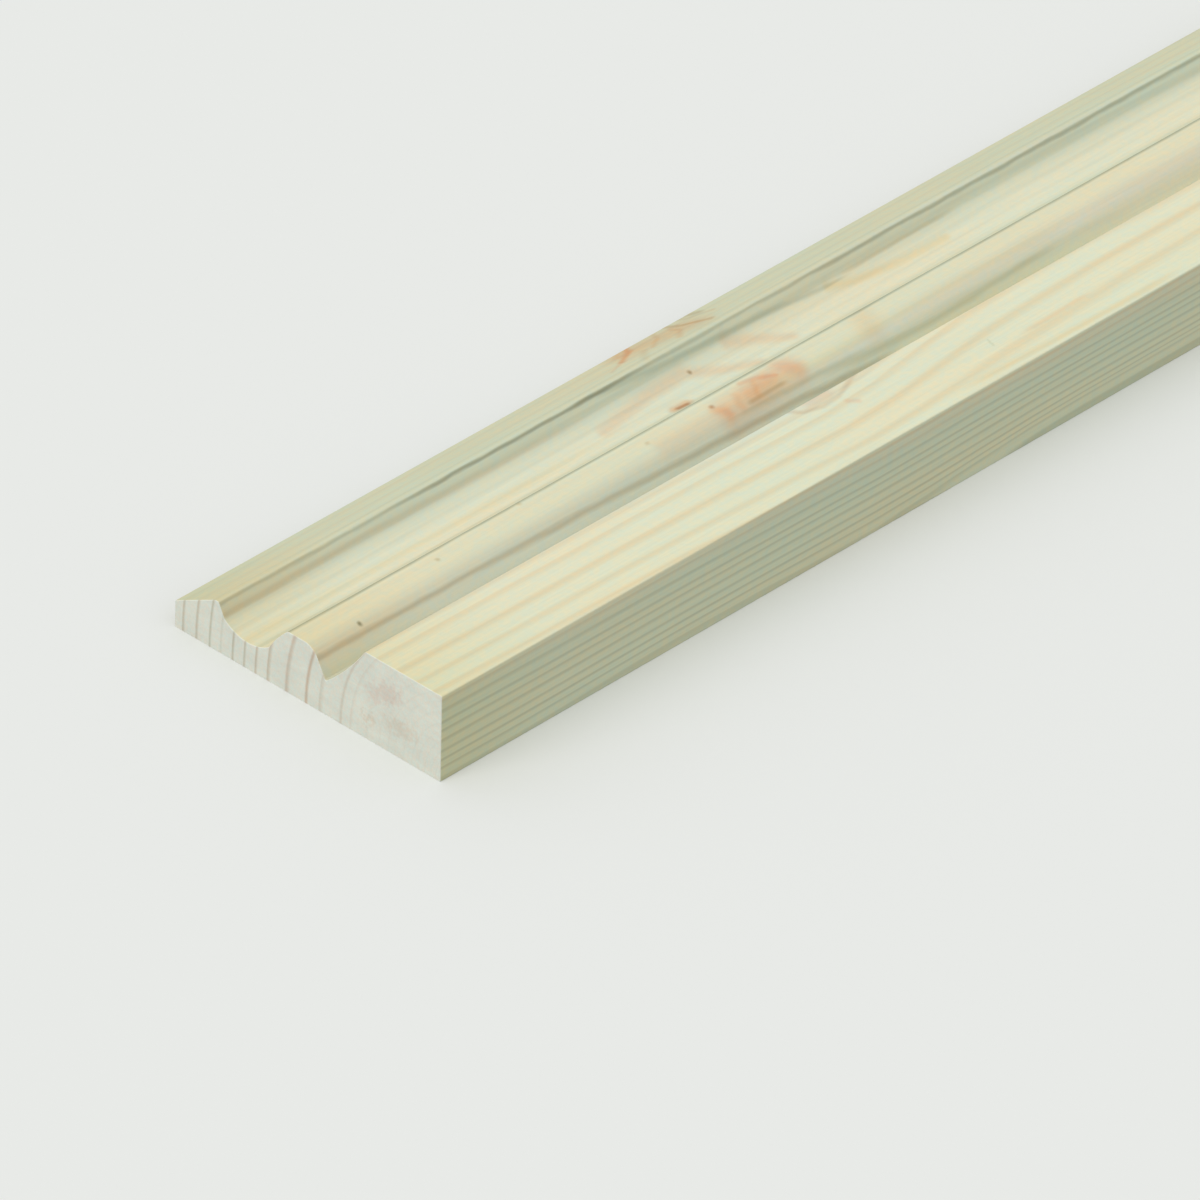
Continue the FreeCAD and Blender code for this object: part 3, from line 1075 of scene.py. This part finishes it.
    def _fleck(self, tree: bpy.types.NodeTree, place: bpy.types.Node, rough_cut: bpy.types.Node,
               colour: bpy.types.Node) -> bpy.types.Node:
        """Flecks the cut wood and shades its pores and tooth marks.

        Args:
            tree: The material's node tree.
            place: The point's place in millimetres.
            rough_cut: The pores and tooth marks.
            colour: The colour below.

        Returns:
            The finished colour.
        """
        flecks = add_node(tree, "ShaderNodeTexNoise", {
            "Vector": place,
            "Scale": 1 / self.fleck_size,
            "Detail": 1.0,
        })
        spread = add_node(tree, "ShaderNodeMapRange", {
            "Value": flecks,
            "From Min": self.fleck_span[0],
            "From Max": self.fleck_span[1],
        })
        fleck = add_node(tree, "ShaderNodeMix", {
            MIX_FACTOR: spread,
            MIX_FIRST: linear(self.fleck_cool),
            MIX_SECOND: linear(self.fleck_warm),
        }, data_type="RGBA")
        flecked = add_node(tree, "ShaderNodeMix", {
            MIX_FACTOR: 1.0,
            MIX_FIRST: colour,
            MIX_SECOND: fleck,
        }, data_type="RGBA", blend_type="MULTIPLY")
        shade = add_node(tree, "ShaderNodeMapRange", {
            "Value": rough_cut,
            "From Min": self.cut_span[0],
            "From Max": self.cut_span[1],
            "To Min": self.cut_shade[0],
            "To Max": self.cut_shade[1],
        })
        return add_node(tree, "ShaderNodeVectorMath", {0: flecked, "Scale": shade}, operation="SCALE")

    def _smudge(self, tree: bpy.types.NodeTree, place: bpy.types.Node,
                colour: bpy.types.Node) -> bpy.types.Node:
        """Lays the near end's smudges over the wood.

        Args:
            tree: The material's node tree.
            place: The point's place in millimetres.
            colour: The colour below the smudges.

        Returns:
            The colour with the smudges.
        """
        split = add_node(tree, "ShaderNodeSeparateXYZ", {"Vector": place})
        flat = add_node(tree, "ShaderNodeCombineXYZ", {
            "X": split.outputs["Y"],
            "Y": split.outputs["Z"],
            "Z": split.outputs["X"],
        })
        torn = add_node(tree, "ShaderNodeTexNoise", {
            "Vector": flat,
            "Scale": 1 / self.smudge_grain,
            "Detail": 2.0,
        })
        push = add_node(tree, "ShaderNodeVectorMath", {
            0: torn.outputs["Color"],
            1: self.smudge_reach,
            2: Vector(self.smudge_reach) / -2,
        }, operation="MULTIPLY_ADD")
        spot = add_node(tree, "ShaderNodeVectorMath", {0: flat, 1: push}, operation="ADD")
        for stroke in END_STROKES:
            colour = stroke.lay(tree, spot, colour)
        return colour


@dataclass
class Architrave:
    """One length of moulded stock, with softened arrises and square sawn ends.

    The members of the face are named from the thick outer edge inwards: band, flank, quirk, ovolo, plateau,
    ogee, cove, step, rim and bevel.
    """

    length: float = STOCK_LENGTH
    outer_thickness: float = 19.0
    inner_thickness: float = 5.8
    band_width: float = 19.7
    flank_run: float = 9.8
    flank_radius: float = 55.0
    quirk_floor: float = 7.6
    quirk_land: float = 0.4
    quirk_wall_run: float = 2.0
    ovolo_run: float = 3.6
    ovolo_rise: float = 2.2
    plateau_height: float = 13.5
    plateau_width: float = 4.1
    ogee_run: float = 4.8
    ogee_radius: float = 25.0
    cove_radius: float = 9.4
    cove_floor: float = 5.8
    cove_lead: float = 5.6
    cove_rise: float = 6.1
    step_run: float = 1.6
    rim_height: float = 11.1
    rim_land: float = 0.9
    bevel_run: float = 10.4

    # How far the cutter and a light sanding cut back the arrises and creases, how much of a run one
    # rounding may take, and how far out its guard points lie, which keep the flats flat.
    arris: float = 0.35
    back_arris: float = 0.1
    crease: float = 0.2
    saw_arris: float = 0.1
    most_of_run: float = 0.3
    guard: float = 1.5

    rounding_chords: int = 4
    flank_chords: int = 12
    ovolo_chords: int = 10
    ogee_chords: int = 14
    cove_chords: int = 20
    near_length: float = 200.0
    near_step: float = 2.0
    far_step: float = 25.0

    # The baked map of 1024 pixels holds the stock as two long strips with the two sawn ends above them. The
    # first 200 mm get more pixels along the stock, because that end is seen closest.
    map_pixels: float = 1024.0
    map_margin: float = 4.0
    near_density: float = 2.6
    far_density: float = 0.8
    face_density: float = 3.1
    back_density: float = 1.0
    end_density: float = 7.0
    strip_break: float = 825.0

    def build(self) -> bpy.types.Object:
        """Builds the moulding's mesh and dresses it.

        Returns:
            The moulding, in place.
        """
        outline = self._soften(self._corners())
        stations = self._stations()
        vertices = self._vertices(outline, stations)
        faces, surfaces = self._faces(len(outline), len(stations) + 2)
        mesh = bpy.data.meshes.new("moulded_stock")
        mesh.from_pydata(vertices, [], faces)
        mesh.materials.append(PlanedPine().build())
        mesh.materials.append(SawnPine().build())
        for polygon, surface in zip(mesh.polygons, surfaces):
            polygon.material_index = surface.value
            polygon.use_smooth = surface is Surface.PLANED
        self._lay_out_map(mesh, outline, stations)
        mesh.validate()
        piece = bpy.data.objects.new("moulded_stock", mesh)
        bpy.context.scene.collection.objects.link(piece)
        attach(piece, "root")
        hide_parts("architrave")
        return piece

    def _corners(self) -> list[tuple[float, float, float]]:
        """Lists the section's points from the outer edge's foot, over the face, to the inner edge's foot.

        Returns:
            Each point's distance across, height, and how far its corner is cut back; 0 on a curve.
        """
        points = [(0.0, 0.0, self.back_arris), (0.0, self.outer_thickness, self.arris)]
        edge = (self.band_width, self.outer_thickness)
        foot = (edge[0] + self.flank_run, self.quirk_floor)
        points.append((*edge, self.arris))
        points += self._arc(edge, foot, self.flank_radius, self.flank_chords)
        points.append((*foot, self.crease))
        across = foot[0] + self.quirk_land
        points.append((across, self.quirk_floor, self.crease))
        wall_top = (across + self.quirk_wall_run, self.plateau_height - self.ovolo_rise)
        top = (wall_top[0] + self.ovolo_run, self.plateau_height)
        ovolo_radius = (self.ovolo_run ** 2 + self.ovolo_rise ** 2) / (2 * self.ovolo_rise)
        points.append((*wall_top, 0.0))
        points += self._arc(wall_top, top, -ovolo_radius, self.ovolo_chords)
        points.append((*top, 0.0))
        brow = (top[0] + self.plateau_width, self.plateau_height)
        dip = (brow[0] + self.ogee_run, self._cove_height(self.cove_lead))
        lift = (dip[0] + self.cove_lead + self.cove_rise, self._cove_height(self.cove_rise))
        points.append((*brow, self.arris))
        points += self._arc(brow, dip, -self.ogee_radius, self.ogee_chords)
        points.append((*dip, 0.0))
        points += self._arc(dip, lift, self.cove_radius, self.cove_chords)
        points.append((*lift, self.crease))
        across = lift[0] + self.step_run
        points.append((across, self.rim_height, self.arris))
        across += self.rim_land
        points.append((across, self.rim_height, self.arris))
        across += self.bevel_run
        points.append((across, self.inner_thickness, self.arris))
        points.append((across, 0.0, self.back_arris))
        return points

    def _cove_height(self, aside: float) -> float:
        """Gives the cove's height at a distance to one side of its deepest line."""
        return self.cove_floor + self.cove_radius - math.sqrt(self.cove_radius ** 2 - aside ** 2)

    def _arc(self, begin: Point, end: Point, radius: float, chords: int) -> list[tuple[float, float, float]]:
        """Samples the inside of an arc.

        Args:
            begin: Where the arc starts.
            end: Where it ends.
            radius: Its radius, positive for a hollow arc and negative for a round one.
            chords: How many chords it gets.

        Returns:
            The points between the two ends, with no corner to cut.
        """
        chord = Vector(end) - Vector(begin)
        middle = (Vector(end) + Vector(begin)) / 2
        reach = math.sqrt(radius ** 2 - chord.length_squared / 4)
        side = Vector((-chord.y, chord.x)).normalized()
        centre = middle + side * math.copysign(reach, radius)
        spoke = Vector(begin) - centre
        sweep = math.copysign(2 * math.asin(chord.length / 2 / abs(radius)), radius)
        points = []
        for number in range(1, chords):
            angle = sweep * number / chords
            turned = Vector((
                spoke.x * math.cos(angle) - spoke.y * math.sin(angle),
                spoke.x * math.sin(angle) + spoke.y * math.cos(angle),
            ))
            points.append((centre.x + turned.x, centre.y + turned.y, 0.0))
        return points

    def _soften(self, corners: list[tuple[float, float, float]]) -> list[Point]:
        """Rounds the section's corners as a cutter and a light sanding leave them.

        Args:
            corners: The section's points, each with how far its corner is cut back.

        Returns:
            The rounded section, with a guard point just outside each end of a rounding.
        """
        outline = []
        for number, (across, up, cut) in enumerate(corners):
            if cut == 0.0:
                outline.append((across, up))
                continue
            here = Vector((across, up))
            cuts = []
            for other in (corners[number - 1], corners[(number + 1) % len(corners)]):
                run = Vector(other[:2]) - here
                cuts.append(run.normalized() * min(cut, self.most_of_run * run.length))
            leave, meet = (here + side for side in cuts)
            outline.append(tuple(here + cuts[0] * self.guard))
            for step in range(self.rounding_chords + 1):
                share = step / self.rounding_chords
                point = leave * (1 - share) ** 2 + here * (2 * share * (1 - share)) + meet * share ** 2
                outline.append(tuple(point))
            outline.append(tuple(here + cuts[1] * self.guard))
        return outline

    def _stations(self) -> list[float]:
        """Lists the places along the stock that get a ring of points, close together at the near end.

        Returns:
            The places in rising order, with a pair at each end that keeps the last faces' shading flat.
        """
        near = [self.near_step * step for step in range(1, int(self.near_length / self.near_step))]
        steps = int((self.length - self.near_length) / self.far_step)
        far = [self.near_length + self.far_step * step for step in range(steps)]
        foot = [self.saw_arris, 2 * self.saw_arris]
        head = [self.length - 2 * self.saw_arris, self.length - self.saw_arris]
        return foot + near + far + head

    def _vertices(self, outline: list[Point], stations: list[float]) -> list[Place]:
        """Places the section at each station, with a slightly smaller one on each sawn end.

        Args:
            outline: The rounded section.
            stations: The places along the stock.

        Returns:
            The mesh's points in metres.
        """
        rings = [(0.0, self._inset(outline, self.saw_arris))]
        rings += [(along, outline) for along in stations]
        rings.append((self.length, self._inset(outline, self.saw_arris)))
        vertices = []
        for along, ring in rings:
            for across, up in ring:
                vertices.append((
                    (along - self.length / 2) * MM,
                    (across - STOCK_WIDTH / 2) * MM,
                    up * MM,
                ))
        return vertices

    def _inset(self, outline: list[Point], depth: float) -> list[Point]:
        """Moves each point of the section inwards by the same depth, and leaves the back flat.

        Args:
            outline: The section, clockwise seen from the foot end.
            depth: How far inwards.

        Returns:
            The smaller section.
        """
        count = len(outline)
        inner = []
        for number, (across, up) in enumerate(outline):
            before = outline[number - 1]
            after = outline[(number + 1) % count]
            run = Vector((after[0] - before[0], after[1] - before[1])).normalized()
            lower = 0.0 if up < self.back_arris else run.x * depth
            inner.append((across + run.y * depth, up - lower))
        return inner

    def _faces(self, points: int, rings: int) -> tuple[list[tuple[int, ...]], list[Surface]]:
        """Joins the rings into faces and closes both ends.

        Args:
            points: How many points a ring has.
            rings: How many rings there are, the two ends among them.

        Returns:
            The faces, and how each one was made.
        """
        faces = []
        surfaces = []
        for ring in range(rings - 1):
            near = ring * points
            far = near + points
            for point in range(points):
                following = (point + 1) % points
                faces.append((near + point, far + point, far + following, near + following))
                surfaces.append(Surface.SAWN if ring in (0, rings - 2) else Surface.PLANED)
        faces.append(tuple(range(points)))
        faces.append(tuple((rings - 1) * points + point for point in reversed(range(points))))
        surfaces += [Surface.SAWN, Surface.SAWN]
        return faces, surfaces

    def _lay_out_map(self, mesh: bpy.types.Mesh, outline: list[Point], stations: list[float]) -> None:
        """Lays the stock out on its texture map, as two strips and two ends.

        Args:
            mesh: The moulding's mesh, with the slots of its faces set.
            outline: The rounded section.
            stations: The places along the stock.
        """
        layer = mesh.uv_layers.new(name="OFBake")
        count = len(outline)
        girth = self._girth(outline)
        strip_height = girth[-1] + 2 * self.map_margin
        ends_floor = 2 * (strip_height + self.map_margin)
        for polygon in mesh.polygons:
            ring, point = divmod(polygon.index, count)
            sawn = polygon.material_index == Surface.SAWN.value
            for loop in polygon.loop_indices:
                vertex = mesh.loops[loop].vertex_index
                if sawn:
                    spot = mesh.vertices[vertex].co / MM
                    left = self.map_margin + (self.map_pixels / 2 if spot.x > 0.0 else 0.0)
                    across = left + (spot.y + STOCK_WIDTH / 2) * self.end_density
                    up = ends_floor + spot.z * self.end_density
                else:
                    strip = 1 if stations[ring - 1] >= self.strip_break else 0
                    vertex_ring, row = divmod(vertex, count)
                    if point == count - 1 and row == 0:
                        row = count
                    run = self._map_run(stations[vertex_ring - 1]) - strip * self._map_run(self.strip_break)
                    across = self.map_margin + run
                    up = self.map_margin + strip * strip_height + girth[row]
                layer.data[loop].uv = (across / self.map_pixels, up / self.map_pixels)

    def _girth(self, outline: list[Point]) -> list[float]:
        """Measures how many pixels of the map each point of the section is from the first, round the section.

        Args:
            outline: The rounded section.

        Returns:
            The runs in pixels, and the full girth at the end.
        """
        girth = [0.0]
        for number, point in enumerate(outline):
            after = outline[(number + 1) % len(outline)]
            on_back = max(point[1], after[1]) < self.back_arris / 2
            density = self.back_density if on_back else self.face_density
            girth.append(girth[-1] + math.dist(point, after) * density)
        return girth

    def _map_run(self, along: float) -> float:
        """Gives how many pixels of the map a place along the stock is from the foot end.

        Args:
            along: The place in millimetres.

        Returns:
            The run in pixels, with both strips end to end.
        """
        both_strips = 2 * (self.map_pixels - 2 * self.map_margin)
        return self._weight(along) * both_strips / self._weight(self.length)

    def _weight(self, along: float) -> float:
        """Gives the stock's length up to a place, with its near end counted at its greater density."""
        near = min(along, self.near_length)
        return near * self.near_density + (along - near) * self.far_density


@dataclass(frozen=True)
class PaintedFloor:
    """Matt white-painted board, rolled, which looks an even pale grey in the studio's light."""

    seen: str = "#EDEFEC"
    bounce: str = "#8F908E"

    def build(self) -> bpy.types.Material:
        """Builds the floor's material, pale to the eye and quieter in the light it throws back.

        Returns:
            The material.
        """
        material = new_material("painted_board")
        tree = material.node_tree
        ray = add_node(tree, "ShaderNodeLightPath")
        looked_at = add_node(tree, "ShaderNodeMath", {
            0: ray.outputs["Is Camera Ray"],
            1: ray.outputs["Is Glossy Ray"],
        }, operation="MAXIMUM")
        colour = add_node(tree, "ShaderNodeMix", {
            MIX_FACTOR: looked_at,
            MIX_FIRST: linear(self.bounce),
            MIX_SECOND: linear(self.seen),
        }, data_type="RGBA")
        shader = add_node(tree, "ShaderNodeBsdfDiffuse", {"Color": colour, "Roughness": 0.0})
        add_node(tree, "ShaderNodeOutputMaterial", {"Surface": shader})
        return material


@dataclass
class Studio:
    """A pale floor in an evenly lit white room, with one broad lamp beyond the foot end."""

    floor_size: float = 60.0
    floor_drop: float = 0.00002
    key_strength: float = 1.41
    key_from: Place = (-0.866, 0.0, 0.5)
    key_spread: float = 50.0
    sky_strength: float = 0.73
    backdrop: str = "#E8EAE7"

    def build(self) -> None:
        """Builds the floor, the lamp and the sky."""
        self._lay_floor()
        self._hang_lamp()
        self._light_sky()

    def _lay_floor(self) -> None:
        """Lays the floor just under the stock's flat back."""
        half = self.floor_size / 2
        mesh = bpy.data.meshes.new("floor")
        corners = [(-half, -half), (half, -half), (half, half), (-half, half)]
        mesh.from_pydata([(x, y, -self.floor_drop) for x, y in corners], [], [(0, 1, 2, 3)])
        mesh.materials.append(PaintedFloor().build())
        floor = bpy.data.objects.new("floor", mesh)
        bpy.context.scene.collection.objects.link(floor)

    def _hang_lamp(self) -> None:
        """Hangs one wide, distant lamp that lights the whole length evenly."""
        lamp = bpy.data.lights.new("key", "SUN")
        lamp.energy = self.key_strength
        lamp.angle = math.radians(self.key_spread)
        holder = bpy.data.objects.new("key", lamp)
        holder.rotation_mode = "QUATERNION"
        holder.rotation_quaternion = Vector(self.key_from).to_track_quat("Z", "Y")
        bpy.context.scene.collection.objects.link(holder)

    def _light_sky(self) -> None:
        """Lights the room evenly, and shows the pale backdrop to the camera beyond the floor."""
        world = bpy.data.worlds.new("studio")
        world.use_nodes = True
        bpy.context.scene.world = world
        tree = world.node_tree
        tree.nodes.clear()
        ray = add_node(tree, "ShaderNodeLightPath")
        light = add_node(tree, "ShaderNodeBackground", {
            "Color": linear("#FFFFFF"),
            "Strength": self.sky_strength,
        })
        seen = add_node(tree, "ShaderNodeBackground", {"Color": linear(self.backdrop), "Strength": 1.0})
        mixed = add_node(tree, "ShaderNodeMixShader", {0: ray.outputs["Is Camera Ray"], 1: light, 2: seen})
        add_node(tree, "ShaderNodeOutputWorld", {"Surface": mixed})


@dataclass(frozen=True)
class PhotographCamera:
    """A long lens that looks at the near end as the photograph does.

    The angles, distance and aim were fitted to the end face's corners and the long edges' directions.
    """

    image_size: float = 1200.0
    lens: float = 500.0
    sensor: float = 36.0
    far_limit: float = 200.0
    azimuth: float = -46.533
    elevation: float = 34.886
    roll: float = 1.393
    depth: float = 3040.13
    corner: Place = (-STOCK_LENGTH / 2, -STOCK_WIDTH / 2, 0.0)
    corner_pixel: Point = (440.193, 781.901)

    def build(self) -> bpy.types.Object:
        """Builds the camera so that the bottom outer corner of the near end falls on its pixel.

        Returns:
            The camera.
        """
        turn = math.radians(self.azimuth)
        lift = math.radians(self.elevation)
        tilt = math.radians(self.roll)
        back = Vector((math.sin(turn) * math.cos(lift), -math.cos(turn) * math.cos(lift), math.sin(lift)))
        level = Vector((0.0, 0.0, 1.0)).cross(back).normalized()
        plumb = back.cross(level)
        right = level * math.cos(tilt) + plumb * math.sin(tilt)
        up = plumb * math.cos(tilt) - level * math.sin(tilt)
        focal = self.lens / self.sensor * self.image_size
        aside = (self.corner_pixel[0] - self.image_size / 2) / focal * self.depth
        above = (self.image_size / 2 - self.corner_pixel[1]) / focal * self.depth
        spot = Vector(self.corner) - right * aside - up * above + back * self.depth
        data = bpy.data.cameras.new("photograph")
        data.lens = self.lens
        data.sensor_width = self.sensor
        data.clip_end = self.far_limit
        camera = bpy.data.objects.new("photograph", data)
        camera.rotation_mode = "QUATERNION"
        turned = Matrix((right, up, back)).transposed().to_4x4()
        camera.matrix_world = Matrix.Translation(spot * MM) @ turned
        bpy.context.scene.collection.objects.link(camera)
        bpy.context.scene.camera = camera
        return camera


def main() -> None:
    """Builds the moulding, the studio and the camera, and reports each."""
    logging.basicConfig(level=logging.INFO, format="%(name)s: %(message)s")
    scene = bpy.context.scene
    scene.view_settings.view_transform = "Standard"
    piece = Architrave().build()
    log.info("%s: %d points, %d faces", piece.name, len(piece.data.vertices), len(piece.data.polygons))
    Studio().build()
    log.info("studio: floor, lamp and sky")
    camera = PhotographCamera().build()
    log.info("camera at %s", tuple(round(value, 3) for value in camera.matrix_world.translation))


if __name__ == "__main__":
    main()
